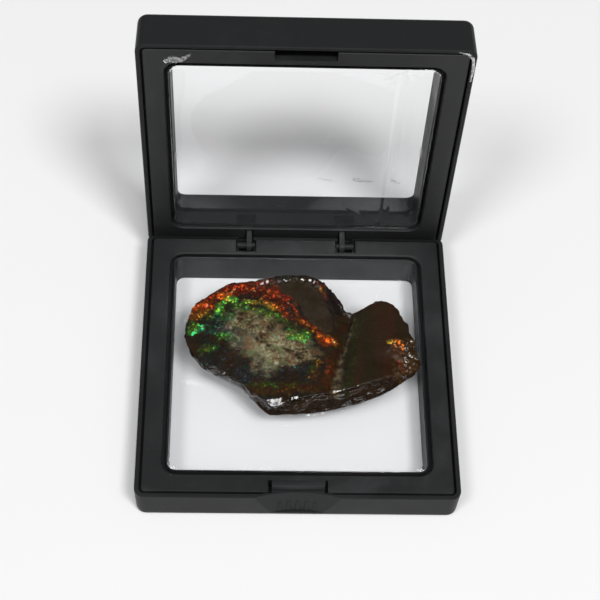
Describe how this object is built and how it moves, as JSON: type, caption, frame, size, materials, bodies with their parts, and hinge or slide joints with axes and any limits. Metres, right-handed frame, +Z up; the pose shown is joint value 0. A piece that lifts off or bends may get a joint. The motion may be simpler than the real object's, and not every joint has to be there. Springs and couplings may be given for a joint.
{
  "type": "ammolite specimen in a hinged clear film display box",
  "caption": "Iridescent fossil ammonite shell on dark matrix, lying on the clear film of an open black hinged display box with a snap latch.",
  "frame": {"origin": "on the supporting surface, under the middle of the open object's bounding box", "axes": "+Z up, +Y from the latch at the front to the hinged lid at the back, +X to the right seen from the front"},
  "size_m": [0.07, 0.0795, 0.0751],
  "materials": {
    "ammolite": "polished dark brown matrix with red, orange and green iridescent patches and a chalky middle",
    "shell_plastic": "black moulded, satin",
    "ring_plastic": "black moulded, finely textured",
    "clear_film": "clear stretched film, glossy, faintly creased"
  },
  "bodies": {
    "base": {"base_shell": "shell_plastic", "base_ring": "ring_plastic", "base_film": "clear_film", "ammolite": "ammolite"},
    "lid": {"lid_shell": "shell_plastic", "lid_ring": "ring_plastic", "lid_film": "clear_film"}
  },
  "joints": [
    {"name": "lid_hinge", "type": "hinge", "parent": "base", "child": "lid", "pos_m": [0, 0.02835, 0.0069], "axis": [1, 0, 0], "range_deg": [-2.2, 87.8], "deforming": ["lid_film"]}
  ]
}
